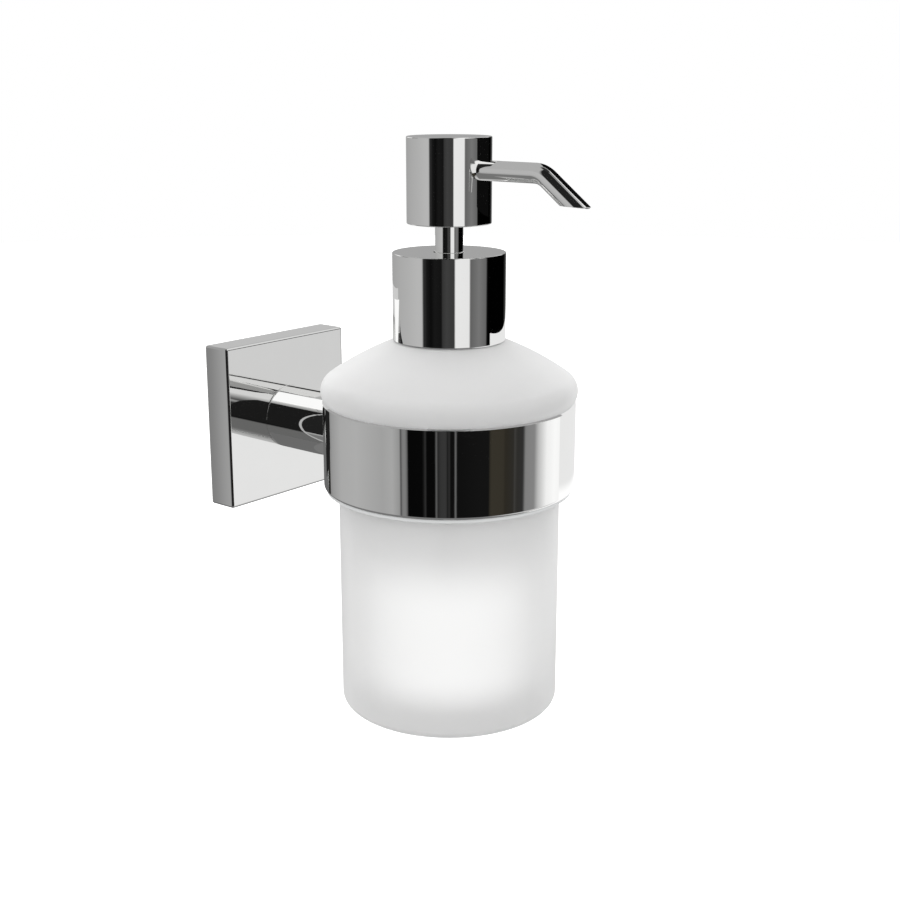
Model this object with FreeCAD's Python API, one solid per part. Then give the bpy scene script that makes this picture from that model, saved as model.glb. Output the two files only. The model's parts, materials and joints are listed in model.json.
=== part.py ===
import FreeCAD, Part
import math
import os

# Wall mounted soap dispenser, in millimetres.
# Origin: centre of the wall plate's back face.  +Z up, +Y into the wall, the object stands out along -Y.

V = FreeCAD.Vector

# ---------------------------------------------------------------- driving dimensions
# wall plate and bracket
plate_size = 51.0          # square plate, width and height
plate_depth = 10.0
plate_wall = 2.2
plate_edge = 0.8           # rounding of the plate's outer edges
bracket_gap = 0.3          # between the bracket and the inside of the plate
bracket_depth = 4.6
bracket_corner = 2.0
wall_hole_r = 2.25
wall_hole_spacing = 30.0
countersink_r = 4.4
countersink_depth = 2.2
grub_r = 1.5
grub_length = 4.3
grub_recess = 0.3          # how far the set screw sits inside the plate's underside
grub_from_wall = 2.6
grub_cone_h = 0.9
grub_tip_r = 0.6
grub_socket_flats = 1.5
grub_socket_depth = 1.7
notch_gap = 0.2            # round the set screw's point, in the bracket

# arm
arm_d = 20.0
arm_wall = 2.0
arm_reach = 67.0           # plate's front face to the ring's axis
plug_length = 12.0
arm_screw_r = 3.0
arm_screw_length = 11.0
arm_screw_gap = 0.2
arm_screw_head_r = 5.0
arm_screw_head_h = 2.4
arm_screw_socket_flats = 4.0
arm_screw_socket_depth = 1.6

# ring and liner
ring_d = 73.6
ring_h = 25.0
ring_wall = 1.9
ring_edge = 0.8            # rounding of the band's lower outer edge
ring_below_arm = 0.2       # the band reaches this far below the arm
liner_wall = 1.8
liner_foot_h = 1.0         # the liner's foot, below the band
liner_foot_set_in = 0.7    # how far the foot stays inside the band's outer face
liner_rise = 0.3           # the liner stands this far above the band

# bottle
bottle_gap = 0.6           # between the glass and the liner
bottle_below_seat = 92.7   # seat on the ring down to the bottle's foot
bottle_foot_r = 2.5
bottle_inner_foot_r = 4.0
glass_wall = 2.8
glass_floor = 5.0
rim_overhang = 0.5         # the glass rim stands out past the band
rim_radius = 5.0
rim_below = 3.2            # widest place of the rim, above the seat
shoulder_slope_low = 35.0  # slope of the shoulder at the rim, degrees
shoulder_slope_high = 20.0 # slope of the shoulder at the collar, degrees
neck_h = 17.4
neck_wall = 2.0
thread_depth = 0.8
thread_pitch = 3.2
thread_beads = 3
thread_from_top = 3.0      # middle of the highest bead, below the neck's top

# collar, closure and pump
collar_d = 32.4
collar_h = 25.0
collar_wall = 0.6
collar_top = 0.8
collar_edge = 0.3
collar_above_shoulder = 0.4
closure_wall = 1.15
closure_web = 1.6
closure_set_up = 0.8       # the cap starts this far above the collar's lower edge
thread_gap = 0.25          # between the thread bead and the cap
gasket_h = 1.4
gasket_inset = 0.2
flange_h = 1.6
housing_bore_r = 5.0
housing_wall = 1.2
chamber_length = 29.4      # housing flange down to the floor of the pump chamber
chamber_floor = 1.5
seat_depth = 5.0           # ball pocket, below the chamber floor
inlet_hole_r = 1.7
inlet_land = 2.5
tube_socket = 8.0
socket_wall = 1.5
bush_r = 8.2
bush_gap = 0.2             # between the bush and the cap's hole
bush_lip = 2.8             # the bush's lip over the cap's web

# moving pump parts
rod_d = 8.0
rod_wall = 0.6
running_gap = 0.05         # radial gap of every sliding fit
rod_hole_gap = 0.4         # dark gap round the rod in the collar's top
stroke = 7.5
stroke_margin = 0.5        # gap that is left at the bottom of the stroke
rod_below_flange = 1.4     # rod sleeve's lower end, below the housing flange's underside
stem_bore_r = 1.5
spigot_r = 2.6
piston_drop = 7.9          # flange's underside to the piston's top
piston_h = 6.5
piston_lip = 1.5
piston_waist = 0.75
stem_foot_r = 3.3
stem_foot_h = 1.2
cage_h = 1.2
cage_hole_r = 1.2
cage_slot_w = 1.0
cage_slot_reach = 3.2
spring_wire_r = 0.4
spring_mean_r = 4.1
spring_turns = 6
inlet_ball_r = 2.2
outlet_ball_r = 1.9
ball_gap = 0.4             # between a check ball and its pocket's wall
ball_seat_gap = 0.05
tube_r = 2.5
tube_bore_r = 1.7
tube_above_floor = 3.0

# pump head and spout
head_d = 24.0
head_h = 24.0
head_wall = 0.8
head_edge = 0.3
core_recess = 0.4
rod_in_head = 4.0
stem_in_head = 9.0
spout_d = 5.5
spout_wall = 0.55
spout_height = 15.1        # spout's centre line above the head's lower edge
spout_reach = 42.7         # head's axis to the middle of the spout's mouth
spout_drop = 8.0
spout_slope = 37.0         # degrees below level
spout_bend_r = 7.0
spout_grip = 7.0           # length of the spout inside the head
outlet_land = 0.3          # room left over the outlet ball at the top of its lift
outlet_lift = 0.9
nozzle_wall = 0.7

# ---------------------------------------------------------------- derived places
plate_front = -plate_depth
axis_y = -(plate_depth + arm_reach)

arm_r = arm_d / 2
ring_r = ring_d / 2
ring_bottom = -(arm_r + ring_below_arm)
ring_top = ring_bottom + ring_h
ring_bore_r = ring_r - ring_wall
liner_bore_r = ring_bore_r - liner_wall
seat_z = ring_top + liner_rise

body_r = liner_bore_r - bottle_gap
bottle_bottom = seat_z - bottle_below_seat
bottle_floor = bottle_bottom + glass_floor
rim_r = ring_r + rim_overhang
rim_z = seat_z + rim_below

collar_r = collar_d / 2
closure_r = collar_r - collar_wall
closure_bore_r = closure_r - closure_wall
thread_r = closure_bore_r - thread_gap
neck_r = thread_r - thread_depth
neck_bore_r = neck_r - neck_wall

# shoulder: an arc tangent to the rim's rounding, up to the collar
slope_low = math.radians(shoulder_slope_low)
slope_high = math.radians(shoulder_slope_high)
rim_centre_r = rim_r - rim_radius
shoulder_start_r = rim_centre_r + rim_radius * math.sin(slope_low)
shoulder_start_z = rim_z + rim_radius * math.cos(slope_low)
shoulder_radius = (shoulder_start_r - closure_bore_r) / (math.sin(slope_low) - math.sin(slope_high))
shoulder_centre_r = shoulder_start_r - shoulder_radius * math.sin(slope_low)
shoulder_centre_z = shoulder_start_z - shoulder_radius * math.cos(slope_low)
shoulder_top = shoulder_centre_z + shoulder_radius * math.cos(slope_high)
neck_root = shoulder_top + (closure_bore_r - neck_r) * math.tan(slope_high)
neck_top = shoulder_top + neck_h


def shoulder_height(radius, offset=0.0):
    """Height of the shoulder's arc, moved inwards by an offset, at a radius."""
    reach = shoulder_radius - offset
    return shoulder_centre_z + math.sqrt(reach ** 2 - (radius - shoulder_centre_r) ** 2)


collar_bottom = shoulder_height(collar_r) + collar_above_shoulder
collar_top_z = collar_bottom + collar_h
flange_bottom = neck_top + gasket_h
flange_top = flange_bottom + flange_h
web_top = flange_top + closure_web
chamber_bottom = flange_bottom - chamber_length
housing_r = housing_bore_r + housing_wall
pocket_bottom = chamber_bottom - seat_depth
inlet_bottom = pocket_bottom - inlet_land
socket_bottom = inlet_bottom - tube_socket

rod_r = rod_d / 2
stem_r = rod_r - rod_wall
head_bottom = collar_top_z + stroke + stroke_margin
head_top = head_bottom + head_h
head_r = head_d / 2
core_r = head_r - head_wall
core_bottom = head_bottom + core_recess
core_top = head_top - head_wall
rod_top = core_bottom + rod_in_head
stem_top = core_bottom + stem_in_head
piston_top = flange_bottom - piston_drop
piston_bottom = piston_top - piston_h
stem_shoulder = piston_top + running_gap
stem_foot_top = piston_bottom - running_gap
cage_top = chamber_bottom + cage_h
spout_z = head_bottom + spout_height
spout_r = spout_d / 2
spout_bore_r = spout_r - spout_wall
outlet_ball_z = stem_top + math.sqrt(outlet_ball_r ** 2 - stem_bore_r ** 2) + ball_seat_gap
inlet_ball_z = pocket_bottom + math.sqrt(inlet_ball_r ** 2 - inlet_hole_r ** 2) + ball_seat_gap

EPS = 1.0                  # how far a cutting tool runs past the face that it opens
COIL_STEPS = 18            # sections per turn of a wound wire
COIL_SIDES = 8             # sides of a wound wire's section


# ---------------------------------------------------------------- helpers
def cylinder(radius, low, high):
    """Upright cylinder on the local Z axis."""
    return Part.makeCylinder(radius, high - low, V(0, 0, low))


def tube(outer, inner, low, high):
    """Upright tube on the local Z axis."""
    return cylinder(outer, low, high).cut(cylinder(inner, low - EPS, high + EPS))


def rod_y(radius, near, far, x=0.0, z=0.0):
    """Cylinder along Y from y = near out to y = far, which is further from the wall."""
    return Part.makeCylinder(radius, near - far, V(x, near, z), V(0, -1, 0))


def point(radius, height):
    """Point of a half profile in the XZ plane."""
    return V(radius, 0, height)


def arc(centre_r, centre_z, radius, start, end):
    """Arc of a half profile, angles in radians from the outward direction towards up."""
    angles = (start, (start + end) / 2, end)
    points = [point(centre_r + radius * math.cos(a), centre_z + radius * math.sin(a)) for a in angles]
    return Part.Arc(*points).toShape()


def joined(edges):
    """Close a half profile with straight lines between the given points and arcs."""
    wire_edges = []
    last = None
    first = None
    for item in edges:
        start, end = (item, item) if isinstance(item, FreeCAD.Vector) else arc_ends(item)
        if last is not None and start.distanceToPoint(last) > 1e-6:
            wire_edges.append(Part.makeLine(last, start))
        if not isinstance(item, FreeCAD.Vector):
            wire_edges.append(item)
        first = start if first is None else first
        last = end
    if last.distanceToPoint(first) > 1e-6:
        wire_edges.append(Part.makeLine(last, first))
    return Part.Wire(wire_edges)


def arc_ends(edge):
    return edge.valueAt(edge.FirstParameter), edge.valueAt(edge.LastParameter)


def turned(edges):
    """Solid of revolution about the local Z axis."""
    return Part.Face(joined(edges)).revolve(V(0, 0, 0), V(0, 0, 1), 360)


def coil(wire_r, mean_r, pitch, turns, low):
    """Wire wound on a helix: eight-sided sections joined by flat three-cornered faces."""
    climb = math.atan2(pitch, 2 * math.pi * mean_r)

    def section(k):
        angle = 2 * math.pi * k / COIL_STEPS
        out = V(math.cos(angle), math.sin(angle), 0)
        along = V(-out.y * math.cos(climb), out.x * math.cos(climb), math.sin(climb))
        across = out.cross(along)
        centre = out * mean_r + V(0, 0, low + pitch * k / COIL_STEPS)
        corners = [2 * math.pi * j / COIL_SIDES for j in range(COIL_SIDES)]
        return [centre + out * (wire_r * math.cos(c)) + across * (wire_r * math.sin(c)) for c in corners]

    def flat_face(corners):
        return Part.Face(Part.makePolygon(corners + corners[:1]))

    sections = [section(k) for k in range(int(turns * COIL_STEPS) + 1)]
    faces = [flat_face(sections[0]), flat_face(sections[-1])]
    for here, there in zip(sections, sections[1:]):
        for j in range(COIL_SIDES):
            k = (j + 1) % COIL_SIDES
            faces.append(flat_face([here[j], here[k], there[k]]))
            faces.append(flat_face([here[j], there[k], there[j]]))
    wound = Part.Solid(Part.Shell(faces))
    if wound.Volume < 0:
        wound.reverse()
    return wound


def hex_socket(across_flats, depth):
    """Hexagonal prism standing on the XY plane."""
    radius = across_flats / math.sqrt(3)
    corners = [V(radius * math.cos(k * math.pi / 3), radius * math.sin(k * math.pi / 3), 0) for k in range(7)]
    return Part.Face(Part.makePolygon(corners)).extrude(V(0, 0, depth))


def edges_at(shape, test):
    """Edges whose every vertex passes the test."""
    return [e for e in shape.Edges if all(test(v.Point) for v in e.Vertexes)]


# ---------------------------------------------------------------- holder
def square_block(size, near, far):
    return Part.makeBox(size, near - far, size, V(-size / 2, far, -size / 2))


def corner_edges(shape, size):
    """The four edges along Y at the corners of a square block."""
    def on_corner(edge):
        a, b = edge.Vertexes[0].Point, edge.Vertexes[-1].Point
        return abs(a.x - b.x) < 1e-6 and abs(a.z - b.z) < 1e-6 and abs(abs(a.x) - size / 2) < 1e-6
    return [e for e in shape.Edges if on_corner(e)]


def make_wall_bracket():
    size = plate_size - 2 * (plate_wall + bracket_gap)
    block = square_block(size, 0, -bracket_depth)
    block = block.makeFillet(bracket_corner, corner_edges(block, size))
    for side in (-1, 1):
        x = side * wall_hole_spacing / 2
        hole = rod_y(wall_hole_r, EPS, -bracket_depth - EPS, x)
        sink_start = -(bracket_depth - countersink_depth)
        sink = Part.makeCone(wall_hole_r, countersink_r, countersink_depth, V(x, sink_start, 0), V(0, -1, 0))
        block = block.cut(hole).cut(sink)
    point_top = -plate_size / 2 + grub_recess + grub_length
    notch = Part.makeCylinder(
        grub_r + notch_gap, point_top + notch_gap + size / 2 + EPS,
        V(0, -grub_from_wall, -size / 2 - EPS))
    return block.cut(notch)


def make_cover_plate():
    block = square_block(plate_size, 0, plate_front)
    outer = corner_edges(block, plate_size) + edges_at(block, lambda p: abs(p.y - plate_front) < 1e-6)
    block = block.makeFillet(plate_edge, outer)
    cavity = square_block(plate_size - 2 * plate_wall, EPS, plate_front + plate_wall)
    screw_hole = rod_y(arm_screw_r + arm_screw_gap, 0, plate_front - EPS)
    grub_hole = Part.makeCylinder(grub_r, plate_wall + 2 * EPS, V(0, -grub_from_wall, -plate_size / 2 - EPS))
    return block.cut(cavity).cut(screw_hole).cut(grub_hole)


def make_grub_screw():
    low = -plate_size / 2 + grub_recess
    cone_low = low + grub_length - grub_cone_h
    shank = cylinder(grub_r, low, cone_low)
    tip = Part.makeCone(grub_r, grub_tip_r, grub_cone_h, V(0, 0, cone_low))
    socket = hex_socket(grub_socket_flats, grub_socket_depth)
    socket.translate(V(0, 0, low))
    screw = shank.fuse(tip).cut(socket).removeSplitter()
    screw.translate(V(0, -grub_from_wall, 0))
    return screw


def ring_outside():
    """Solid filling the band's outer face, used to saddle the arm."""
    filled = cylinder(ring_r, -2 * ring_h, 2 * ring_h)
    filled.translate(V(0, axis_y, 0))
    return filled


def make_arm():
    outer = rod_y(arm_r, plate_front, axis_y)
    bore = rod_y(arm_r - arm_wall, plate_front + EPS, axis_y - EPS)
    return outer.cut(bore).cut(ring_outside())


def make_arm_plug():
    plug = rod_y(arm_r - arm_wall, plate_front, plate_front - plug_length)
    return plug.cut(rod_y(arm_screw_r, plate_front + EPS, plate_front - plug_length - EPS))


def make_arm_screw():
    seat = plate_front + plate_wall
    head = rod_y(arm_screw_head_r, seat + arm_screw_head_h, seat)
    shank = rod_y(arm_screw_r, seat, seat - arm_screw_length)
    socket = hex_socket(arm_screw_socket_flats, arm_screw_socket_depth + EPS)
    socket.rotate(V(0, 0, 0), V(1, 0, 0), 90)
    socket.translate(V(0, seat + arm_screw_head_h + EPS, 0))
    return head.fuse(shank).cut(socket).removeSplitter()


def make_ring():
    return turned([
        point(ring_bore_r, ring_bottom),
        arc(ring_r - ring_edge, ring_bottom + ring_edge, ring_edge, -math.pi / 2, 0),
        point(ring_r, ring_top),
        point(ring_bore_r, ring_top),
    ])


def make_ring_liner():
    foot_r = ring_r - liner_foot_set_in
    return turned([
        point(liner_bore_r, ring_bottom - liner_foot_h),
        point(foot_r, ring_bottom - liner_foot_h),
        point(foot_r, ring_bottom),
        point(ring_bore_r, ring_bottom),
        point(ring_bore_r, seat_z),
        point(liner_bore_r, seat_z),
    ])


# ---------------------------------------------------------------- bottle
def shoulder_angle(radius, offset):
    return math.acos((radius - shoulder_centre_r) / (shoulder_radius - offset))


def make_bottle():
    rim_low_angle = -math.asin(rim_below / rim_radius)
    inner_r = body_r - glass_wall
    inner_start = shoulder_angle(inner_r, glass_wall)
    inner_end = shoulder_angle(neck_bore_r, glass_wall)
    bead_heights = [neck_top - thread_from_top - k * thread_pitch for k in reversed(range(thread_beads))]
    beads = [arc(neck_r, height, thread_depth, -math.pi / 2, math.pi / 2) for height in bead_heights]
    return turned([
        point(0, bottle_bottom),
        arc(body_r - bottle_foot_r, bottle_bottom + bottle_foot_r, bottle_foot_r, -math.pi / 2, 0),
        point(body_r, seat_z),
        arc(rim_centre_r, rim_z, rim_radius, rim_low_angle, math.pi / 2 - slope_low),
        arc(shoulder_centre_r, shoulder_centre_z, shoulder_radius, math.pi / 2 - slope_low,
            math.pi / 2 - slope_high),
        point(neck_r, neck_root),
        *beads,
        point(neck_r, neck_top),
        point(neck_bore_r, neck_top),
        arc(shoulder_centre_r, shoulder_centre_z, shoulder_radius - glass_wall, inner_end, inner_start),
        arc(inner_r - bottle_inner_foot_r, bottle_floor + bottle_inner_foot_r, bottle_inner_foot_r,
            0, -math.pi / 2),
        point(0, bottle_floor),
    ])


# ---------------------------------------------------------------- pump
def make_neck_gasket():
    return tube(neck_r - gasket_inset, neck_bore_r + gasket_inset, neck_top, flange_bottom)


def make_closure_cap():
    hole_r = bush_r + bush_gap
    return turned([
        point(closure_bore_r, collar_bottom + closure_set_up),
        point(closure_r, collar_bottom + closure_set_up),
        point(closure_r, web_top),
        point(hole_r, web_top),
        point(hole_r, flange_top),
        point(closure_bore_r, flange_top),
    ])


def make_collar_shell():
    shell = cylinder(collar_r, collar_bottom, collar_top_z)
    shell = shell.makeFillet(collar_edge, edges_at(shell, lambda p: abs(p.z - collar_top_z) < 1e-6))
    shell = shell.cut(cylinder(closure_r, collar_bottom - EPS, collar_top_z - collar_top))
    return shell.cut(cylinder(rod_r + rod_hole_gap, collar_bottom, collar_top_z + EPS))


def make_pump_housing():
    socket_r = tube_r + socket_wall
    return turned([
        point(housing_bore_r, flange_top),
        point(neck_r - gasket_inset, flange_top),
        point(neck_r - gasket_inset, flange_bottom),
        point(housing_r, flange_bottom),
        point(housing_r, chamber_bottom - chamber_floor),
        point(socket_r, chamber_bottom - seat_depth),
        point(socket_r, socket_bottom),
        point(tube_r, socket_bottom),
        point(tube_r, inlet_bottom),
        point(inlet_hole_r, inlet_bottom),
        point(inlet_hole_r, pocket_bottom),
        point(inlet_ball_r + ball_gap, pocket_bottom),
        point(inlet_ball_r + ball_gap, chamber_bottom),
        point(housing_bore_r, chamber_bottom),
    ])


def make_guide_bush():
    bore_r = rod_r + running_gap
    lip_top = collar_top_z - collar_top
    return turned([
        point(bore_r, flange_top),
        point(bush_r, flange_top),
        point(bush_r, web_top),
        point(bush_r + bush_lip, web_top),
        point(bush_r + bush_lip, lip_top),
        point(bore_r, lip_top),
    ])


def make_ball_cage():
    disc = tube(housing_bore_r, cage_hole_r, chamber_bottom, cage_top)
    for k in range(3):
        slot = Part.makeBox(
            cage_slot_reach, cage_slot_w, cage_h + 2 * EPS, V(0, -cage_slot_w / 2, chamber_bottom - EPS))
        slot.rotate(V(0, 0, 0), V(0, 0, 1), k * 120)
        disc = disc.cut(slot)
    return disc


def make_dip_tube():
    return tube(tube_r, tube_bore_r, bottle_floor + tube_above_floor, inlet_bottom)


def make_return_spring():
    height = piston_bottom - cage_top - 2 * spring_wire_r
    return coil(spring_wire_r, spring_mean_r, height / spring_turns, spring_turns, cage_top + spring_wire_r)


def make_inlet_ball():
    return Part.makeSphere(inlet_ball_r, V(0, 0, inlet_ball_z))


def make_piston():
    lip_r = housing_bore_r - running_gap
    waist_r = lip_r - piston_waist
    bore_r = spigot_r + running_gap
    return turned([
        point(bore_r, piston_bottom),
        point(lip_r, piston_bottom),
        point(lip_r, piston_bottom + piston_lip),
        point(waist_r, piston_bottom + piston_lip + piston_waist),
        point(waist_r, piston_top - piston_lip - piston_waist),
        point(lip_r, piston_top - piston_lip),
        point(lip_r, piston_top),
        point(bore_r, piston_top),
    ])


# ---------------------------------------------------------------- pump head
def make_piston_stem():
    return turned([
        point(stem_bore_r, stem_foot_top - stem_foot_h),
        point(stem_foot_r, stem_foot_top - stem_foot_h),
        point(stem_foot_r, stem_foot_top),
        point(spigot_r, stem_foot_top),
        point(spigot_r, stem_shoulder),
        point(stem_r, stem_shoulder),
        point(stem_r, stem_top),
        point(stem_bore_r, stem_top),
    ])


def make_rod_sleeve():
    return tube(rod_r, stem_r, flange_bottom - rod_below_flange, rod_top)


def spout_hole(radius, start):
    """Level hole towards the mouth, from a distance in front of the head's axis."""
    return rod_y(radius, -start, -head_r - EPS, 0, spout_z)


def make_head_core():
    pocket_r = outlet_ball_r + ball_gap
    pocket_top = outlet_ball_z + outlet_ball_r + outlet_lift + outlet_land
    core = cylinder(core_r, core_bottom, core_top)
    bores = [
        cylinder(rod_r, core_bottom - EPS, rod_top),
        cylinder(stem_r, core_bottom - EPS, stem_top),
        cylinder(pocket_r, stem_top, pocket_top),
        cylinder(stem_bore_r, pocket_top - EPS, spout_z),
        Part.makeSphere(stem_bore_r, V(0, 0, spout_z)),
        spout_hole(stem_bore_r, 0),
        spout_hole(spout_r, head_r - spout_grip),
    ]
    for bore in bores:
        core = core.cut(bore)
    return core


def make_head_shell():
    shell = cylinder(head_r, head_bottom, head_top)
    ends = edges_at(shell, lambda p: abs(p.z - head_top) < 1e-6)
    shell = shell.makeFillet(head_edge, ends)
    shell = shell.cut(cylinder(core_r, head_bottom - EPS, core_top))
    return shell.cut(spout_hole(spout_r, 0))


def spout_path(start):
    """Centre line of the spout: level run, bend, sloping run past the mouth."""
    slope = math.radians(spout_slope)
    corner_y = -(spout_reach - spout_drop / math.tan(slope))
    tangent = spout_bend_r * math.tan(slope / 2)
    bend_y = corner_y + tangent
    bend_z = spout_z - spout_bend_r

    def on_bend(angle):
        return V(0, bend_y - spout_bend_r * math.sin(angle), bend_z + spout_bend_r * math.cos(angle))

    run = spout_drop / math.sin(slope) + spout_d
    end = on_bend(slope) + V(0, -run * math.cos(slope), -run * math.sin(slope))
    return Part.Wire([
        Part.makeLine(V(0, -start, spout_z), on_bend(0)),
        Part.Arc(on_bend(0), on_bend(slope / 2), on_bend(slope)).toShape(),
        Part.makeLine(on_bend(slope), end),
    ])


def swept(radius, path, start):
    section = Part.Wire(Part.makeCircle(radius, V(0, -start, spout_z), V(0, -1, 0)))
    return path.makePipeShell([section], True, False)


def spout_tube(outer, inner):
    start = head_r - spout_grip
    path = spout_path(start)
    pipe = swept(outer, path, start).cut(swept(inner, path, start))
    mouth = spout_z - spout_drop
    side = 2 * spout_reach
    below = Part.makeBox(side, 2 * side, side, V(-side / 2, -2 * side, mouth - side))
    return pipe.cut(below)


def make_spout():
    return spout_tube(spout_r, spout_bore_r)


def make_spout_liner():
    return spout_tube(spout_bore_r, spout_bore_r - nozzle_wall)


def make_outlet_ball():
    return Part.makeSphere(outlet_ball_r, V(0, 0, outlet_ball_z))


# ---------------------------------------------------------------- parts
ON_WALL = {
    "wall_bracket": make_wall_bracket,
    "cover_plate": make_cover_plate,
    "grub_screw": make_grub_screw,
    "arm": make_arm,
    "arm_plug": make_arm_plug,
    "arm_screw": make_arm_screw,
}

ON_BOTTLE_AXIS = {
    "ring": make_ring,
    "ring_liner": make_ring_liner,
    "bottle": make_bottle,
    "neck_gasket": make_neck_gasket,
    "closure_cap": make_closure_cap,
    "collar_shell": make_collar_shell,
    "pump_housing": make_pump_housing,
    "guide_bush": make_guide_bush,
    "ball_cage": make_ball_cage,
    "dip_tube": make_dip_tube,
    "return_spring": make_return_spring,
    "inlet_ball": make_inlet_ball,
    "piston": make_piston,
    "piston_stem": make_piston_stem,
    "rod_sleeve": make_rod_sleeve,
    "head_core": make_head_core,
    "head_shell": make_head_shell,
    "spout": make_spout,
    "spout_liner": make_spout_liner,
    "outlet_ball": make_outlet_ball,
}

os.makedirs("parts", exist_ok=True)

for name, make in ON_WALL.items():
    make().exportStep("parts/" + name + ".step")

for name, make in ON_BOTTLE_AXIS.items():
    shape = make()
    shape.translate(V(0, axis_y, 0))
    shape.exportStep("parts/" + name + ".step")
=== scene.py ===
import json
import math

import bpy
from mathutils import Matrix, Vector


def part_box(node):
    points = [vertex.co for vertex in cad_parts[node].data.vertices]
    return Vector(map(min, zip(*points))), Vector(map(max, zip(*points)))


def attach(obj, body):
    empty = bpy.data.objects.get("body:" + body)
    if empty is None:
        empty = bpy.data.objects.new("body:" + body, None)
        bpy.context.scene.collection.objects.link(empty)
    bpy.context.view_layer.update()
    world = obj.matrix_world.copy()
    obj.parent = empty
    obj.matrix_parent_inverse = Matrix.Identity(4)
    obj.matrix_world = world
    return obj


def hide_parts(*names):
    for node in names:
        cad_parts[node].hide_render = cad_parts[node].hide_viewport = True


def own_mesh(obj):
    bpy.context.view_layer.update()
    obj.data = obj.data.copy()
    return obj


# Wall mounted soap dispenser, in metres: +Z is up, the wall is at y 0, the bottle stands out along -Y.

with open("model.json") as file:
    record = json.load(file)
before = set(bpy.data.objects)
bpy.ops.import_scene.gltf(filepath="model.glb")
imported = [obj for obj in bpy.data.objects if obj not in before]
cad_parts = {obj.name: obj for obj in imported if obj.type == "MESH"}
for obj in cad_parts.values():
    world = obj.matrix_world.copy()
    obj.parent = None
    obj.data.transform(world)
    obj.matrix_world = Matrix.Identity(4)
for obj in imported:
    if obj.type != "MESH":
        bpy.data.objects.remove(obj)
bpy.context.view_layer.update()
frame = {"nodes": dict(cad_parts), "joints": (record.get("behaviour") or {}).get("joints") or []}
bpy.ops.object.select_all(action="DESELECT")

MM = 0.001

# ---------------------------------------------------------------- sizes
ring_low, ring_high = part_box("ring")
collar_low, collar_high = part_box("collar_shell")
head_low, head_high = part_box("head_shell")
sleeve_low, sleeve_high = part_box("rod_sleeve")
plate_low, plate_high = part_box("cover_plate")
arm_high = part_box("arm")[1]
spout_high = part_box("spout")[1]
bottle_low, bottle_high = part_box("bottle")
liner_low, liner_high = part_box("ring_liner")
grub_low, grub_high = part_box("grub_screw")
coil_low, coil_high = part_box("return_spring")

AXIS_Y = (bottle_low.y + bottle_high.y) / 2
ring_r = ring_high.x
collar_r = collar_high.x
head_r = head_high.x
rod_r = sleeve_high.x
rim_r = bottle_high.x
arm_r = arm_high.x
grub_r = grub_high.x
spout_r = spout_high.x
spout_z = spout_high.z - spout_r

ring_wall = 1.9 * MM
ring_edge = 0.8 * MM
ring_rim_edge = 0.25 * MM
liner_wall = 1.8 * MM
liner_edge = 0.2 * MM
liner_seat_r = ring_r - 0.7 * MM     # outside of the foot that shows below the band
liner_bore_r = ring_r - ring_wall - liner_wall
arm_wall = 2.0 * MM
plate_wall = 2.2 * MM
plate_edge = 0.8 * MM
grub_hole_deep = 5.0 * MM
collar_wall = 0.6 * MM
rod_wall = 0.6 * MM
rod_edge = 0.1 * MM
rod_hole_r = rod_r + 0.4 * MM
head_wall = 0.8 * MM
fine_edge = 0.3 * MM

glass_wall = 2.8 * MM
glass_floor = 5.0 * MM
glass_r = 32.5 * MM
glass_belt = 40.0 * MM               # the wall's last plain length below the seat
foot_r = 2.5 * MM
inner_foot_r = 4.0 * MM
rim_radius = 5.0 * MM
rim_below = 3.2 * MM
shoulder_slopes = (35.0, 20.0)
shoulder_end_r = 14.45 * MM
neck_r = 13.4 * MM
neck_bore_r = 11.4 * MM
bead_r = 0.8 * MM
bead_pitch = 3.2 * MM
bead_from_top = 3.0 * MM

spout_wall = 0.55 * MM
spout_edge = 0.08 * MM
spout_grip = 7.0 * MM
spout_reach = 42.7 * MM
spout_drop = 8.0 * MM
spout_slope = math.radians(37.0)
spout_bend_r = 7.0 * MM

spring_wire_r = 0.4 * MM
spring_turns = 6

past = 1.0 * MM                      # how far a cutter reaches past the face it enters
tall = 60.0 * MM                     # half the height of a cutter that clears the whole band

SMOOTH_ANGLE = math.radians(35)
ROUNDED_ANGLE = math.radians(40)     # edges sharper than this are rounded
TURNED_SIDES = 160
MERGE = 1e-7


# ---------------------------------------------------------------- shaping
def edit(piece):
    """Opens a piece for shaping, with everything on it selected."""
    bpy.context.view_layer.objects.active = piece
    piece.select_set(True)
    bpy.ops.object.mode_set(mode="EDIT")
    bpy.ops.mesh.select_mode(type="VERT")
    bpy.ops.mesh.select_all(action="SELECT")


def select_faces(piece, test):
    """Selects the faces whose centre and normal, in the object's frame, pass the test."""
    bpy.ops.mesh.select_mode(type="FACE")
    bpy.ops.mesh.select_all(action="DESELECT")
    bpy.ops.object.mode_set(mode="OBJECT")
    for face in piece.data.polygons:
        face.select = test(piece.matrix_world @ face.center, face.normal)
    bpy.ops.object.mode_set(mode="EDIT")


def name_piece(name):
    piece = bpy.context.object
    piece.name = name
    piece.data.name = name
    return piece


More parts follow.
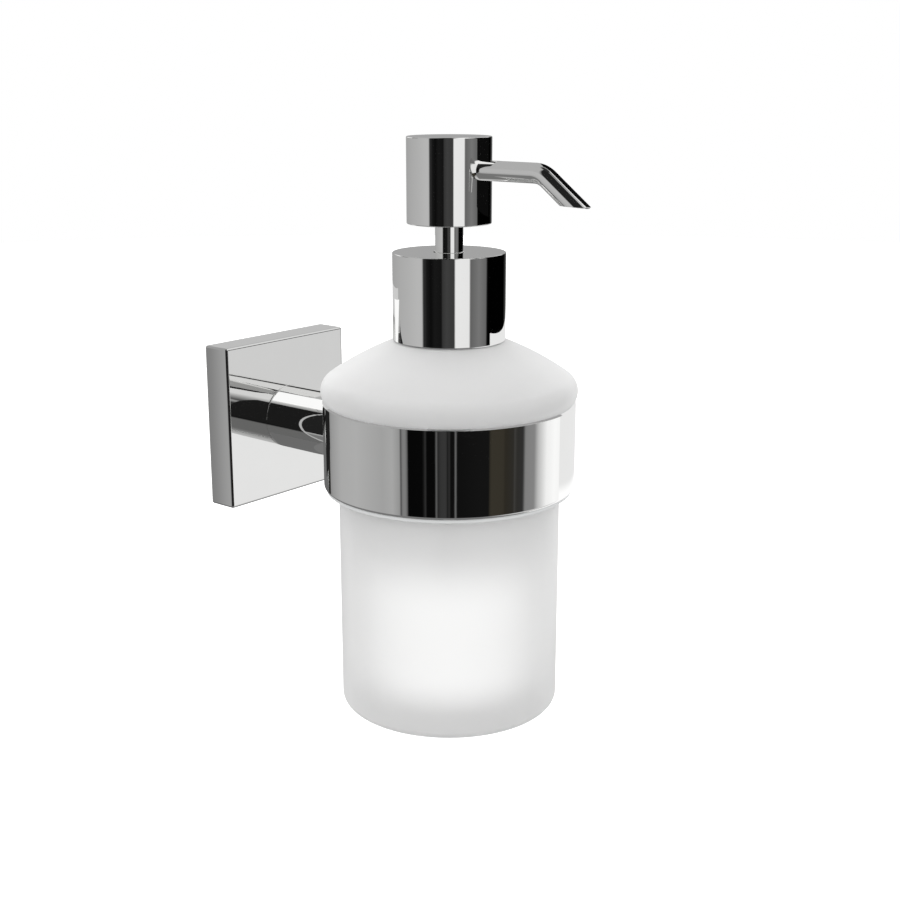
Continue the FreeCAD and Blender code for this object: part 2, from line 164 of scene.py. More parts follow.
def lathe(name, profile, sides=TURNED_SIDES, closed_foot=False):
    """Circle carried along a half profile of (radius, height) about the bottle's axis."""
    bpy.ops.object.select_all(action="DESELECT")
    radius, height = profile[0]
    bpy.ops.mesh.primitive_circle_add(vertices=sides, radius=radius, location=(0, AXIS_Y, height))
    piece = name_piece(name)
    edit(piece)
    for next_radius, next_height in profile[1:]:
        bpy.ops.mesh.extrude_region_move(TRANSFORM_OT_translate={"value": (0, 0, next_height - height)})
        if next_radius == 0:
            bpy.ops.mesh.merge(type="CENTER")
            break
        scale = next_radius / radius
        bpy.ops.transform.resize(value=(scale, scale, 1), center_override=(0, AXIS_Y, next_height))
        radius, height = next_radius, next_height
    bpy.ops.mesh.select_all(action="SELECT")
    bpy.ops.mesh.remove_doubles(threshold=MERGE)
    if closed_foot:
        bpy.ops.mesh.fill_holes(sides=0)
        bpy.ops.mesh.select_all(action="SELECT")
    bpy.ops.mesh.normals_make_consistent(inside=False)
    bpy.ops.object.mode_set(mode="OBJECT")
    return piece


def arc(centre_r, centre_z, radius, start, end, steps):
    """Points of a half profile's arc, angles in degrees from outward towards up."""
    angles = [math.radians(start + (end - start) * k / steps) for k in range(steps + 1)]
    return [(centre_r + radius * math.cos(a), centre_z + radius * math.sin(a)) for a in angles]


def apply_modifier(piece, kind, **settings):
    bpy.context.view_layer.objects.active = piece
    modifier = piece.modifiers.new(kind.lower(), kind)
    for key, value in settings.items():
        setattr(modifier, key, value)
    bpy.ops.object.modifier_apply(modifier=modifier.name)


def thicken(piece, wall):
    """Gives a sheet its wall, inwards from the face that is seen."""
    apply_modifier(piece, "SOLIDIFY", thickness=wall, offset=-1, use_even_offset=True)


def round_edges(piece, width, segments=4):
    apply_modifier(piece, "BEVEL", width=width, segments=segments, limit_method="ANGLE",
                   angle_limit=ROUNDED_ANGLE, use_clamp_overlap=True)


def cut_away(piece, cutter):
    """Removes the cutter's volume from the piece, and then the cutter."""
    apply_modifier(piece, "BOOLEAN", operation="DIFFERENCE", object=cutter, solver="EXACT")
    bpy.data.objects.remove(cutter)


def drill(radius, start, end, sides=64):
    """Cutter from one point to another."""
    bpy.ops.object.select_all(action="DESELECT")
    start, end = Vector(start), Vector(end)
    turn = (end - start).to_track_quat("Z", "Y").to_euler()
    bpy.ops.mesh.primitive_cylinder_add(vertices=sides, radius=radius, depth=(end - start).length,
                                        location=(start + end) / 2, rotation=turn)
    return name_piece("cutter")


def finish_piece(piece, body, node, material):
    """Smooth shading, place in the mesh, and what the piece rides on and stands for."""
    bpy.ops.object.select_all(action="DESELECT")
    bpy.context.view_layer.objects.active = piece
    piece.select_set(True)
    bpy.ops.object.transform_apply(location=True, rotation=True, scale=True)
    bpy.ops.object.shade_smooth_by_angle(angle=SMOOTH_ANGLE)
    apply_modifier(piece, "WEIGHTED_NORMAL", mode="FACE_AREA", weight=80, keep_sharp=True)
    piece.data.materials.clear()
    piece.data.materials.append(material)
    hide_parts(node)
    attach(piece, body)
    piece.select_set(False)


# ---------------------------------------------------------------- shader arithmetic
class Signal:
    """An output of a shader tree that takes part in plain arithmetic."""

    def __init__(self, nodes, socket):
        self.nodes = nodes
        self.socket = socket

    def math(self, operation, *values):
        return self.nodes.node("ShaderNodeMath", {"operation": operation}, dict(enumerate(values)))

    def __add__(self, other):
        return self.math("ADD", self, other)

    def __radd__(self, other):
        return self.math("ADD", other, self)

    def __sub__(self, other):
        return self.math("SUBTRACT", self, other)

    def __rsub__(self, other):
        return self.math("SUBTRACT", other, self)

    def __mul__(self, other):
        return self.math("MULTIPLY", self, other)

    def __rmul__(self, other):
        return self.math("MULTIPLY", other, self)

    def __truediv__(self, other):
        return self.math("DIVIDE", self, other)

    def over(self, low, high):
        """0 below low, 1 above high, smooth between."""
        settings = {"interpolation_type": "SMOOTHSTEP"}
        return self.nodes.node("ShaderNodeMapRange", settings, {
            "Value": self, "From Min": low, "From Max": high})


class Nodes:
    """A node tree, written as expressions."""

    def __init__(self, owner):
        owner.use_nodes = True
        self.tree = owner.node_tree
        self.tree.nodes.clear()

    def node(self, kind, settings=None, inputs=None, output=None):
        """Adds a node: its settings first, then the values or links of its sockets."""
        made = self.tree.nodes.new(kind)
        for key, value in (settings or {}).items():
            if key == "stops":
                self.set_stops(made.color_ramp, value)
            else:
                setattr(made, key, value)
        for key, value in (inputs or {}).items():
            if isinstance(key, int):
                socket = made.inputs[key]
            else:
                socket = next(s for s in made.inputs if s.name == key and s.enabled)
            if isinstance(value, Signal):
                self.tree.links.new(value.socket, socket)
            else:
                socket.default_value = value
        shown = [s for s in made.outputs if s.enabled and (output is None or s.name == output)]
        return Signal(self, shown[0]) if shown else None

    def set_stops(self, ramp, stops):
        while len(ramp.elements) > 1:
            ramp.elements.remove(ramp.elements[-1])
        ramp.elements[0].position = stops[0][0]
        ramp.elements[0].color = (*stops[0][1], 1)
        for position, colour in stops[1:]:
            ramp.elements.new(position).color = (*colour, 1)

    def blend(self, factor, low, high):
        """Colour between two colours."""
        return self.node("ShaderNodeMix", {"data_type": "RGBA"}, {"Factor": factor, "A": low, "B": high})

    def place(self):
        return self.node("ShaderNodeTexCoord", output="Object")

    def parts(self, vector):
        """The three numbers of a vector."""
        first = self.node("ShaderNodeSeparateXYZ", None, {"Vector": vector})
        return [Signal(self, socket) for socket in first.socket.node.outputs]

    def noise(self, scale, detail=2.0, stretch=(1, 1, 1), roughness=0.5):
        """Noise from 0 to 1; scale is in waves per metre."""
        place = self.node("ShaderNodeMapping", None, {"Vector": self.place(), "Scale": stretch})
        return self.node("ShaderNodeTexNoise", None, {
            "Vector": place, "Scale": scale, "Detail": detail, "Roughness": roughness}, "Fac")

    def bump(self, height, distance, strength=1.0):
        return self.node("ShaderNodeBump", None, {
            "Height": height, "Distance": distance, "Strength": strength})


def finish_of(name, build):
    """Material whose surface is made by a function of its nodes."""
    material = bpy.data.materials.new(name)
    nodes = Nodes(material)
    nodes.node("ShaderNodeOutputMaterial", None, {"Surface": build(nodes)})
    return material


def grey(tone, warmth=0.0):
    """Linear colour of a display tone from 0 to 255."""
    level = tone / 255
    linear = level / 12.92 if level <= 0.04045 else ((level + 0.055) / 1.055) ** 2.4
    return (linear, linear * (1 - warmth / 3), linear * (1 - warmth))


def whole(colour):
    return (*colour, 1)


# ---------------------------------------------------------------- finishes
GLOW_STARTS = (-71 * MM, -58 * MM)   # heights between which the painted glow (emission on the glass) begins
GLOW_ENDS = (-40 * MM, -20 * MM)


def chrome(name, level, haze=0.02):
    """Bright plating: a little uneven in gloss, with faint wipe marks."""
    def build(nodes):
        cloud = nodes.noise(90, 3)
        wipe = nodes.noise(1400, 2, (0.15, 0.15, 1))
        tone = 0.97 + 0.03 * cloud
        colour = nodes.blend(tone, whole((0, 0, 0)), whole((level, level, level * 0.992)))
        return nodes.node("ShaderNodeBsdfPrincipled", None, {
            "Base Color": colour,
            "Metallic": 1.0,
            "Roughness": haze + 0.03 * cloud * wipe,
            "Normal": nodes.bump(nodes.noise(260, 1), 0.000004, 0.5),
        })
    return finish_of(name, build)


def frosted_glass(name):
    """Satin etched glass: fine grain, a painted glow (emission) low down, and painted shade (a darker
    grey copy) where the wall is seen edge on.
    """
    def build(nodes):
        grain = nodes.noise(5200, 2)
        cloud = nodes.noise(60, 3)
        height = nodes.parts(nodes.place())[2]
        colour = nodes.blend(cloud, whole((0.935, 0.935, 0.933)), whole((0.96, 0.96, 0.958)))
        normal = nodes.bump(grain, 0.00003, 0.35)
        glass = nodes.node("ShaderNodeBsdfPrincipled", None, {
            "Base Color": colour,
            "Roughness": 0.55 + 0.1 * grain,
            "IOR": 1.2,
            "Transmission Weight": 0.4,
            "Normal": normal,
        })
        scatter = nodes.node("ShaderNodeBsdfTranslucent", None, {"Color": whole((0.965, 0.965, 0.963))})
        face = nodes.node("ShaderNodeMixShader", None, {"Fac": 0.25, 1: glass, 2: scatter})
        # Painted shade: a darker grey copy of the glass, mixed in where the wall is seen edge on.
        edge = nodes.node("ShaderNodeBsdfPrincipled", None, {
            "Base Color": whole((0.74, 0.74, 0.738)), "Roughness": 0.6, "Normal": normal})
        away = nodes.node("ShaderNodeLayerWeight", None, {"Blend": 0.5}, "Facing")
        body = nodes.node("ShaderNodeMixShader", None, {"Fac": away.over(0.35, 0.95), 1: face, 2: edge})
        # Painted glow: emission low on the body, strongest where the wall is seen face on, stands in for
        # light through the glass.
        glow = nodes.node("ShaderNodeEmission", None, {
            "Color": whole((0.97, 0.97, 0.965)), "Strength": 1.0})
        lit = height.over(*GLOW_STARTS) * (1 - height.over(*GLOW_ENDS))
        return nodes.node("ShaderNodeMixShader", None, {
            "Fac": 0.85 * lit * (1 - away.over(-0.05, 0.48)), 1: body, 2: glow})
    return finish_of(name, build)


def moulded(name, colour, gloss=0.4, grain=2400, clear=0.0):
    """Moulded plastic or rubber with a fine skin and slow colour drift."""
    def build(nodes):
        skin = nodes.noise(grain, 3)
        drift = nodes.noise(120, 2)
        low = whole(tuple(c * 0.92 for c in colour))
        return nodes.node("ShaderNodeBsdfPrincipled", None, {
            "Base Color": nodes.blend(drift, low, whole(colour)),
            "Roughness": gloss + 0.12 * skin,
            "Transmission Weight": clear,
            "Normal": nodes.bump(skin, 0.00002, 0.4),
        })
    return finish_of(name, build)


def cast_metal(name, colour, rough=0.45):
    """Cast or turned metal left unplated: grainy, a little blotched."""
    def build(nodes):
        grain = nodes.noise(3200, 4)
        blotch = nodes.noise(180, 3)
        low = whole(tuple(c * 0.8 for c in colour))
        return nodes.node("ShaderNodeBsdfPrincipled", None, {
            "Base Color": nodes.blend(blotch, low, whole(colour)),
            "Metallic": 1.0,
            "Roughness": rough + 0.2 * grain,
            "Normal": nodes.bump(grain, 0.00003, 0.5),
        })
    return finish_of(name, build)


def machined_steel(name, tone, rough=0.22):
    """Turned stainless steel with fine tool lines."""
    def build(nodes):
        lines = nodes.noise(900, 2, (1, 1, 12))
        colour = nodes.blend(lines, whole((tone * 0.85,) * 3), whole((tone,) * 3))
        return nodes.node("ShaderNodeBsdfPrincipled", None, {
            "Base Color": colour,
            "Metallic": 1.0,
            "Roughness": rough + 0.15 * lines,
            "Normal": nodes.bump(lines, 0.00001, 0.4),
        })
    return finish_of(name, build)


bright_chrome = chrome("bright_chrome", 0.97)
# Painted shade: the plate gets the same plating as the band and arm, set darker.
plate_chrome_painted_darker = chrome("plate_chrome_painted_darker", 0.74)
arm_chrome = chrome("arm_chrome", 0.97)
bottle_glass = frosted_glass("bottle_glass")
liner_plastic = moulded("liner_plastic", (0.72, 0.73, 0.73), 0.3)
gasket_rubber = moulded("gasket_rubber", (0.03, 0.03, 0.032), 0.6, 1800)
pump_plastic = moulded("pump_plastic", (0.82, 0.83, 0.83), 0.32)
tube_plastic = moulded("tube_plastic", (0.86, 0.87, 0.87), 0.3, 1500, 0.3)
seal_plastic = moulded("seal_plastic", (0.55, 0.58, 0.6), 0.4)
nozzle_plastic = moulded("nozzle_plastic", (0.06, 0.06, 0.062), 0.45)
bracket_zinc = cast_metal("bracket_zinc", (0.62, 0.63, 0.65))
plug_alloy = cast_metal("plug_alloy", (0.7, 0.7, 0.71), 0.35)
screw_steel = machined_steel("screw_steel", 0.62)
ball_steel = machined_steel("ball_steel", 0.75, 0.1)

KEPT_NODES = {
    "wall_bracket": bracket_zinc,
    "grub_screw": screw_steel,
    "arm_plug": plug_alloy,
    "arm_screw": screw_steel,
    "neck_gasket": gasket_rubber,
    "closure_cap": pump_plastic,
    "pump_housing": pump_plastic,
    "guide_bush": pump_plastic,
    "ball_cage": pump_plastic,
    "dip_tube": tube_plastic,
    "inlet_ball": ball_steel,
    "outlet_ball": ball_steel,
    "piston": seal_plastic,
    "piston_stem": pump_plastic,
    "head_core": pump_plastic,
    "spout_liner": nozzle_plastic,
}
for node, material in KEPT_NODES.items():
    for slot in frame["nodes"][node].material_slots:
        slot.material = material


# ---------------------------------------------------------------- holder
def make_cover_plate():
    """Hollow square cover: open at the back, with the set screw's hole in its underside."""
    bpy.ops.object.select_all(action="DESELECT")
    size = plate_high - plate_low
    bpy.ops.mesh.primitive_cube_add(size=1, location=(plate_low + plate_high) / 2, scale=size)
    piece = name_piece("plate_cover")
    bpy.ops.object.transform_apply(location=True, rotation=True, scale=True)
    edit(piece)
    select_faces(piece, lambda centre, normal: normal.y > 0.9)
    bpy.ops.mesh.inset(thickness=plate_wall, depth=0)
    depth = size.y - plate_wall
    bpy.ops.mesh.extrude_region_move(TRANSFORM_OT_translate={"value": (0, -depth, 0)})
    bpy.ops.mesh.select_all(action="SELECT")
    bpy.ops.mesh.normals_make_consistent(inside=False)
    bpy.ops.object.mode_set(mode="OBJECT")
    round_edges(piece, plate_edge, 5)
    grub_y = (grub_low.y + grub_high.y) / 2
    below, above = (0, grub_y, plate_low.z - past), (0, grub_y, plate_low.z + grub_hole_deep)
    cut_away(piece, drill(grub_r, below, above, 48))
    finish_piece(piece, "holder", "cover_plate", plate_chrome_painted_darker)


def make_arm():
    """Round tube from the plate to the band, saddled on to the band."""
    bpy.ops.object.select_all(action="DESELECT")
    near = plate_low.y
    bpy.ops.mesh.primitive_circle_add(vertices=128, radius=arm_r, location=(0, near, 0),
                                      rotation=(math.pi / 2, 0, 0))
    piece = name_piece("arm_tube")
    edit(piece)
    bpy.ops.mesh.extrude_region_move(TRANSFORM_OT_translate={"value": (0, AXIS_Y - near, 0)})
    bpy.ops.mesh.select_all(action="SELECT")
    bpy.ops.mesh.normals_make_consistent(inside=False)
    bpy.ops.object.mode_set(mode="OBJECT")
    thicken(piece, arm_wall)
    round_edges(piece, fine_edge, 3)
    cutter = drill(ring_r, (0, AXIS_Y, -tall), (0, AXIS_Y, tall), TURNED_SIDES)
    cut_away(piece, cutter)
    finish_piece(piece, "holder", "arm", arm_chrome)


def make_ring():
    """Band that holds the bottle, rounded at its lower edge."""
    low, high = ring_low.z, ring_high.z
    foot = arc(ring_r - ring_edge, low + ring_edge, ring_edge, -90, 0, 6)
    band = lathe("holder_band", foot + [(ring_r, high)])
    thicken(band, ring_wall)
    round_edges(band, ring_rim_edge, 3)
    finish_piece(band, "holder", "ring", bright_chrome)


def make_ring_liner():
    """Thin plastic liner between the band and the bottle, with a foot under the band."""
    low, high = liner_low.z, liner_high.z
    piece = lathe("band_liner", [
        (liner_bore_r, high), (liner_bore_r, low), (liner_seat_r, low), (liner_seat_r, ring_low.z),
        (ring_r - ring_wall, ring_low.z), (ring_r - ring_wall, high), (liner_bore_r, high)])
    round_edges(piece, liner_edge, 2)
    finish_piece(piece, "holder", "ring_liner", liner_plastic)


# ---------------------------------------------------------------- bottle
def make_bottle():
    """Blown glass bottle with a real wall: body, rolled rim, shoulder and threaded neck."""
    seat = liner_high.z
    foot = bottle_low.z
    top = bottle_high.z
    rim_centre_r = rim_r - rim_radius
    rim_z = seat + rim_below
    rim_low = -math.degrees(math.asin(rim_below / rim_radius))
    slope_low, slope_high = (math.radians(s) for s in shoulder_slopes)
    start_r = rim_centre_r + rim_radius * math.sin(slope_low)
    start_z = rim_z + rim_radius * math.cos(slope_low)
    bow = (start_r - shoulder_end_r) / (math.sin(slope_low) - math.sin(slope_high))
    bow_r = start_r - bow * math.sin(slope_low)
    bow_z = start_z - bow * math.cos(slope_low)
    shoulder_top = bow_z + bow * math.cos(slope_high)
    neck_root = shoulder_top + (shoulder_end_r - neck_r) * math.tan(slope_high)

    outside = arc(glass_r - foot_r, foot + foot_r, foot_r, -90, 0, 8)
    outside += [(glass_r, seat - glass_belt), (glass_r, seat)]
    outside += arc(rim_centre_r, rim_z, rim_radius, rim_low, 90 - shoulder_slopes[0], 14)
    outside += arc(bow_r, bow_z, bow, 90 - shoulder_slopes[0], 90 - shoulder_slopes[1], 10)[1:]
    outside += [(neck_r, neck_root)]
    for k in reversed(range(3)):
        outside += arc(neck_r, top - bead_from_top - k * bead_pitch, bead_r, -90, 90, 6)
    outside += [(neck_r, top)]

    inner_r = glass_r - glass_wall
    inner_bow = bow - glass_wall
    inner_low = math.degrees(math.acos((inner_r - bow_r) / inner_bow))
    inner_high = math.degrees(math.acos((neck_bore_r - bow_r) / inner_bow))
    floor = foot + glass_floor
    inside = [(neck_bore_r, top)]
    inside += arc(bow_r, bow_z, inner_bow, inner_high, inner_low, 10)
    inside += arc(inner_r - inner_foot_r, floor + inner_foot_r, inner_foot_r, 0, -90, 8)
    inside += [(0, floor)]
    piece = lathe("glass_bottle", outside + inside, closed_foot=True)
    finish_piece(piece, "bottle", "bottle", bottle_glass)


# ---------------------------------------------------------------- pump
def make_collar():
    """Deep chrome collar, with the pump rod's hole in its top."""
    piece = lathe("collar_cup", [
        (collar_r, collar_low.z), (collar_r, collar_high.z), (rod_hole_r, collar_high.z)])
    thicken(piece, collar_wall)
    round_edges(piece, fine_edge, 3)
    finish_piece(piece, "pump", "collar_shell", bright_chrome)


def make_rod_sleeve():
    piece = lathe("rod_tube", [(rod_r, sleeve_low.z), (rod_r, sleeve_high.z)], 96)
    thicken(piece, rod_wall)
    round_edges(piece, rod_edge, 2)
    finish_piece(piece, "head", "rod_sleeve", bright_chrome)


def make_head_shell():
    """Cup over the pump head, closed on top, with the spout's hole in its side."""
    piece = lathe("head_cup", [(head_r, head_low.z), (head_r, head_high.z), (0, head_high.z)])
    thicken(piece, head_wall)
    round_edges(piece, fine_edge, 3)
    cutter = drill(spout_r, (0, AXIS_Y - head_r / 2, spout_z), (0, AXIS_Y - 2 * head_r, spout_z))
    cut_away(piece, cutter)
    finish_piece(piece, "head", "head_shell", bright_chrome)


def make_spout():
    """Thin tube: level run, bend, sloping run, cut level at the mouth."""
    bpy.ops.object.select_all(action="DESELECT")
    corner_y = AXIS_Y - (spout_reach - spout_drop / math.tan(spout_slope))
    bend_y = corner_y + spout_bend_r * math.tan(spout_slope / 2)
    start_y = AXIS_Y - (head_r - spout_grip)
    bpy.ops.mesh.primitive_circle_add(vertices=64, radius=spout_r, location=(0, start_y, spout_z),
                                      rotation=(math.pi / 2, 0, 0))
    piece = name_piece("spout_tube")
    edit(piece)
    bpy.ops.mesh.extrude_region_move(TRANSFORM_OT_translate={"value": (0, bend_y - start_y, 0)})
    bpy.ops.mesh.spin(steps=14, angle=-spout_slope, axis=(1, 0, 0),
                      center=(0, bend_y, spout_z - spout_bend_r))
    run = spout_drop / math.sin(spout_slope) + 2 * spout_r
    bpy.ops.mesh.extrude_region_move(TRANSFORM_OT_translate={
        "value": (0, -run * math.cos(spout_slope), -run * math.sin(spout_slope))})
    bpy.ops.mesh.select_all(action="SELECT")
    bpy.ops.mesh.bisect(plane_co=(0, 0, spout_z - spout_drop), plane_no=(0, 0, 1), clear_inner=True)
    bpy.ops.mesh.select_all(action="SELECT")
    bpy.ops.mesh.remove_doubles(threshold=MERGE)
    bpy.ops.mesh.normals_make_consistent(inside=False)
    bpy.ops.object.mode_set(mode="OBJECT")
    thicken(piece, spout_wall)
    round_edges(piece, spout_edge, 2)
    finish_piece(piece, "head", "spout", bright_chrome)


def make_return_spring():
    """Round wire wound on a helix; how far it would shorten as the pump is pressed is worked out but not
    used.
    """
    coil_r = coil_high.x - spring_wire_r
    pitch = (coil_high.z - coil_low.z - 2 * spring_wire_r) / spring_turns
    bpy.ops.object.select_all(action="DESELECT")
    bpy.ops.mesh.primitive_circle_add(vertices=14, radius=spring_wire_r, rotation=(math.pi / 2, 0, 0),
                                      location=(coil_r, 0, coil_low.z + spring_wire_r))
    piece = name_piece("spring_wire")
    bpy.ops.object.transform_apply(location=True, rotation=True, scale=True)
    apply_modifier(piece, "SCREW", axis="Z", angle=2 * math.pi, screw_offset=pitch,
                   iterations=spring_turns, steps=40, render_steps=40)
    edit(piece)
    bpy.ops.mesh.remove_doubles(threshold=MERGE)
    bpy.ops.mesh.fill_holes(sides=0)
    bpy.ops.mesh.select_all(action="SELECT")
    bpy.ops.mesh.normals_make_consistent(inside=False)
    bpy.ops.object.mode_set(mode="OBJECT")
    piece.location.y = AXIS_Y
    finish_piece(piece, "pump", "return_spring", ball_steel)
    press = next(joint for joint in frame["joints"] if joint["name"] == "head_press")
    travel = press["range_m"][1]
    length = coil_high.z - coil_low.z
    (length - travel) / length
    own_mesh(piece)


make_cover_plate()
make_arm()
make_ring()
make_ring_liner()
make_bottle()
make_collar()
make_rod_sleeve()
make_head_shell()
make_spout()
make_return_spring()

# The plate and the arm mirror only the studio: bottle and band are kept out of the metal's shine.
for piece_name in ("glass_bottle", "holder_band", "band_liner"):
    bpy.data.objects[piece_name].visible_glossy = False

# ---------------------------------------------------------------- camera
CAMERA_AZIMUTH = math.radians(-50.6)
CAMERA_ELEVATION = math.radians(15.0)
CAMERA_DISTANCE = 412.5 * MM
CAMERA_LENS = 56.17

toward = Vector((math.sin(CAMERA_AZIMUTH), -math.cos(CAMERA_AZIMUTH), 0))
across = Vector((math.cos(CAMERA_AZIMUTH), math.sin(CAMERA_AZIMUTH), 0))
aim = Vector((0, AXIS_Y, -0.2 * MM)) + 0.23 * MM * across
step_back = toward * math.cos(CAMERA_ELEVATION) + Vector((0, 0, math.sin(CAMERA_ELEVATION)))

lens = bpy.data.cameras.new("camera")
lens.lens = CAMERA_LENS
lens.clip_start = 0.01
camera = bpy.data.objects.new("camera", lens)
bpy.context.scene.collection.objects.link(camera)
camera.location = aim + CAMERA_DISTANCE * step_back
camera.rotation_euler = (aim - camera.location).to_track_quat("-Z", "Y").to_euler()
bpy.context.scene.camera = camera
bpy.context.scene.view_settings.view_transform = "Standard"


# ---------------------------------------------------------------- studio
def turn(degrees):
    """Place on a ramp of a turn about the object, 0 towards the camera."""
    return degrees / 360 + 0.5


# Each band of cards is a ramp round the object: (degrees from the camera's side, display tone).
UPPER_CARDS = [
    (-180, 165), (-150, 165), (-120, 172), (-90, 178), (-65, 185), (-56.5, 185), (-53, 30),
    (-50, 45), (-46, 24), (-37, 12), (-29, 24), (-15.5, 20), (-13.5, 52), (-5, 63), (3, 59),
    (10.6, 57), (12.3, 235), (40.5, 233), (43, 98), (62, 119), (79, 103), (82, 6), (87, 1),
    (142, 1), (155, 60), (165, 150), (180, 165),
]
LOWER_CARDS = [
    (-180, 90), (-150, 84), (-133, 152), (-115, 172), (-92, 176), (-62, 163), (-52, 169),
    (-44.5, 148), (-43.5, 60), (-42, 128), (-38.5, 126), (-37, 7), (-11, 9), (-8, 52), (-3, 56),
    (-1, 14), (28, 20), (35.5, 20), (37, 55), (49, 54), (51, 45), (69.5, 48), (72, 130),
    (82, 133), (87, 190), (92, 215), (98, 243), (110, 254), (125, 246), (145, 206), (165, 203),
    (180, 200),
]
LOWER_LINES = [
    (-22.6, 0), (-21.6, 75), (-20.8, 0), (-12, 0), (-11, 105), (-9.8, 0), (-0.2, 0), (0.5, 82),
    (1.4, 0), (4.6, 0), (5.5, 110), (6.4, 0), (60.2, 0), (61, 70), (62, 0),
]
SKY_CARDS = [
    (-180, 175), (-64, 175), (-56, 32), (12, 32), (26, 245), (160, 245), (174, 175), (180, 175),
]


# Heights in degrees between which one band of cards gives way to the next.
UNDER_TO_LOWER = (-24, -20)
LOWER_TO_UPPER = (-13.0, -11.5)
UPPER_TO_SKY = (19, 24)
SKY_TO_TOP = (72, 80)
TOP_TONE = 45

UNDER_TURN = (0.45, 0.8)             # share of a right-hand direction
UNDER_LEFT = 118
UNDER_RIGHT = 205

SOFT_TURN = (5, 35)                  # heights between which the soft light grows
SOFT_MOST = 2.0


def make_studio():
    world = bpy.data.worlds.new("studio")
    bpy.context.scene.world = world
    nodes = Nodes(world)
    direction = nodes.node("ShaderNodeTexCoord", output="Generated")
    forward, side = (nodes.node("ShaderNodeVectorMath", {"operation": "DOT_PRODUCT"},
                                {0: direction, 1: way}, "Value") for way in (toward, across))
    height = nodes.parts(direction)[2]
    around = side.math("ARCTAN2", side, forward) / (2 * math.pi) + 0.5
    climb = height.math("ARCSINE", height) * (180 / math.pi)

    def band(cards, warmth_of=lambda degrees: 0.0):
        stops = [(turn(degrees), grey(tone, warmth_of(degrees))) for degrees, tone in cards]
        return nodes.node("ShaderNodeValToRGB", {"stops": stops}, {"Fac": around}, "Color")

    lower = nodes.node("ShaderNodeMix", {"data_type": "RGBA", "blend_type": "ADD"}, {
        "Factor": 1.0, "A": band(LOWER_CARDS, lambda degrees: 0.35 if 36 < degrees < 66 else 0.0),
        "B": band(LOWER_LINES)})
    cards = nodes.blend(climb.over(*LOWER_TO_UPPER), lower, band(UPPER_CARDS))
    with_sky = nodes.blend(climb.over(*UPPER_TO_SKY), cards, band(SKY_CARDS))
    with_top = nodes.blend(climb.over(*SKY_TO_TOP), with_sky, whole(grey(TOP_TONE)))
    under = nodes.blend(side.over(*UNDER_TURN), whole(grey(UNDER_LEFT)), whole(grey(UNDER_RIGHT)))
    seen_in_gloss = nodes.blend(climb.over(*UNDER_TO_LOWER), under, with_top)

    soft_level = 0.86 + 0.08 * side + climb.over(*SOFT_TURN) * (0.62 - 0.42 * side)
    soft = nodes.blend(soft_level / SOFT_MOST, whole((0, 0, 0)), whole((SOFT_MOST,) * 3))
    camera_ray = nodes.node("ShaderNodeLightPath", output="Is Camera Ray")
    gloss_ray = nodes.node("ShaderNodeLightPath", output="Is Glossy Ray")
    light = nodes.blend(gloss_ray, soft, seen_in_gloss)
    shown = nodes.blend(camera_ray, light, whole((1, 1, 1)))
    background = nodes.node("ShaderNodeBackground", None, {"Color": shown, "Strength": 1.0})
    nodes.node("ShaderNodeOutputWorld", None, {"Surface": background})


FLOOR_Z = -0.6
FLOOR_R = 6.0


def make_floor():
    """Pale floor, far enough below that it takes no shadow from the piece."""
    bpy.ops.object.select_all(action="DESELECT")
    bpy.ops.mesh.primitive_circle_add(vertices=64, radius=FLOOR_R, fill_type="NGON",
                                      location=(0, AXIS_Y, FLOOR_Z))
    floor = name_piece("floor")

    def build(nodes):
        return nodes.node("ShaderNodeBsdfPrincipled", None, {
            "Base Color": whole((0.9, 0.9, 0.9)), "Roughness": 0.9,
            "Emission Color": whole((1, 1, 1)), "Emission Strength": 0.35})
    floor.data.materials.append(finish_of("floor_paint", build))
    floor.visible_glossy = False
    floor.visible_diffuse = False
    floor.visible_transmission = False


def make_card(name, low, high, build):
    """Upright card between two corners, seen only in the shine of the metal."""
    bpy.ops.object.select_all(action="DESELECT")
    low, high = Vector(low) * MM, Vector(high) * MM
    across_card = Vector((high.x - low.x, high.y - low.y, 0))
    bpy.ops.mesh.primitive_plane_add(size=1, location=(low + high) / 2)
    card = name_piece(name)
    card.scale = (across_card.length, high.z - low.z, 1)
    card.rotation_euler = (math.pi / 2, 0, math.atan2(across_card.y, across_card.x))
    bpy.ops.object.transform_apply(location=True, rotation=True, scale=True)
    card.data.materials.append(finish_of(name + "_face", build))
    card.visible_camera = False
    card.visible_diffuse = False
    card.visible_transmission = False
    card.visible_shadow = False


CARD_BLUR = 0.4                      # half the width of a cut edge, in mm


def plain_card(tone):
    def build(nodes):
        return nodes.node("ShaderNodeEmission", None, {"Color": whole(grey(tone)), "Strength": 1.0})
    return build


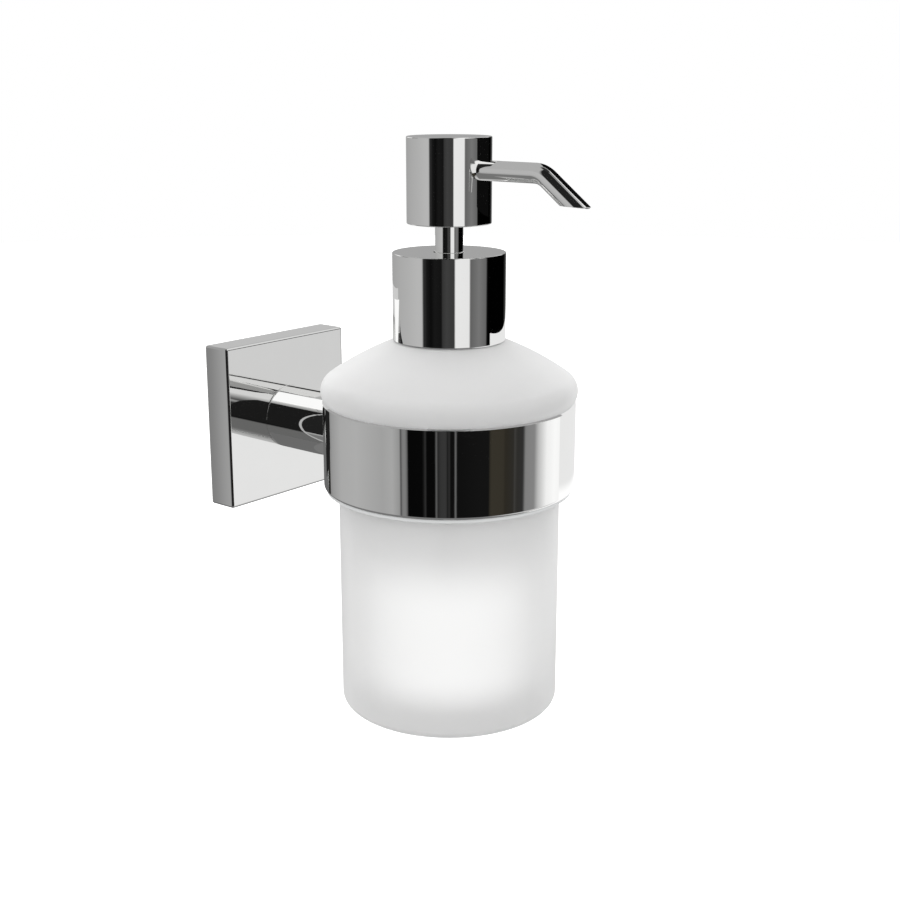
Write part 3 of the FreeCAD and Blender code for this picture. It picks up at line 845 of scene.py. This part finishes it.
def sloped_card(tone, edges):
    """Card cut along leaning edges (lean, place at height 0, kept side), clear from the plate's side."""
    def build(nodes):
        x, _, z = nodes.parts(nodes.place())
        shape = 1 - nodes.node("ShaderNodeNewGeometry", output="Backfacing")
        for lean, start, rising in edges:
            inside = (x - lean * z).over((start - CARD_BLUR) * MM, (start + CARD_BLUR) * MM)
            shape = shape * (inside if rising else 1 - inside)
        lit = nodes.node("ShaderNodeEmission", None, {"Color": whole(grey(tone)), "Strength": 1.0})
        clear = nodes.node("ShaderNodeBsdfTransparent")
        return nodes.node("ShaderNodeMixShader", None, {"Fac": shape, 1: clear, 2: lit})
    return build


def graded_card(axis, low, high, low_level, high_level):
    """Card whose light changes along one axis, from one place to another."""
    def build(nodes):
        place = nodes.parts(nodes.place())[axis].over(low * MM, high * MM)
        level = nodes.blend(place, whole((low_level,) * 3), whole((high_level,) * 3))
        return nodes.node("ShaderNodeEmission", None, {"Color": level, "Strength": 1.0})
    return build


def make_cards():
    """Cards close to the bracket and the spout, placed in mm, where the metal mirrors what is near."""
    make_card("flag_by_arm", (-26, -45, -9), (-26, -10.2, 28), plain_card(32))
    make_card("flag_below_arm", (-26, -10.6, -25.5), (12, -10.6, -3.7),
              sloped_card(107, [(0.527, -7.29, True)]))
    make_card("light_above_arm", (-24, -10.6, 6.4), (4, -10.6, 36),
              sloped_card(255, [(-0.537, -4.21, True), (0.284, -7.21, False)]))
    make_card("flag_behind_arm", (-100, 40, 87), (-38, 40, 125), plain_card(32))
    make_card("light_over_arm", (-36, 40, 87), (36, 40, 125), plain_card(255))
    make_card("light_before_plate", (22, -121, -60), (84, -44, 30),
              graded_card(2, -14, -10, 1.05, 0.83))
    make_card("light_behind_plate", (-20, 8, 26.5), (55, 8, 37), plain_card(205))
    make_card("dim_beside_plate", (-32, -3, -31), (-32, 9, 26), graded_card(1, -3, 8, 0.45, 0.28))
    make_card("flag_by_spout", (25, -140, 66), (25, -92, 170), plain_card(12))
    make_card("flag_by_head", (25, -76, 84), (25, -60, 89.8), plain_card(12))


make_studio()
make_floor()
make_cards()
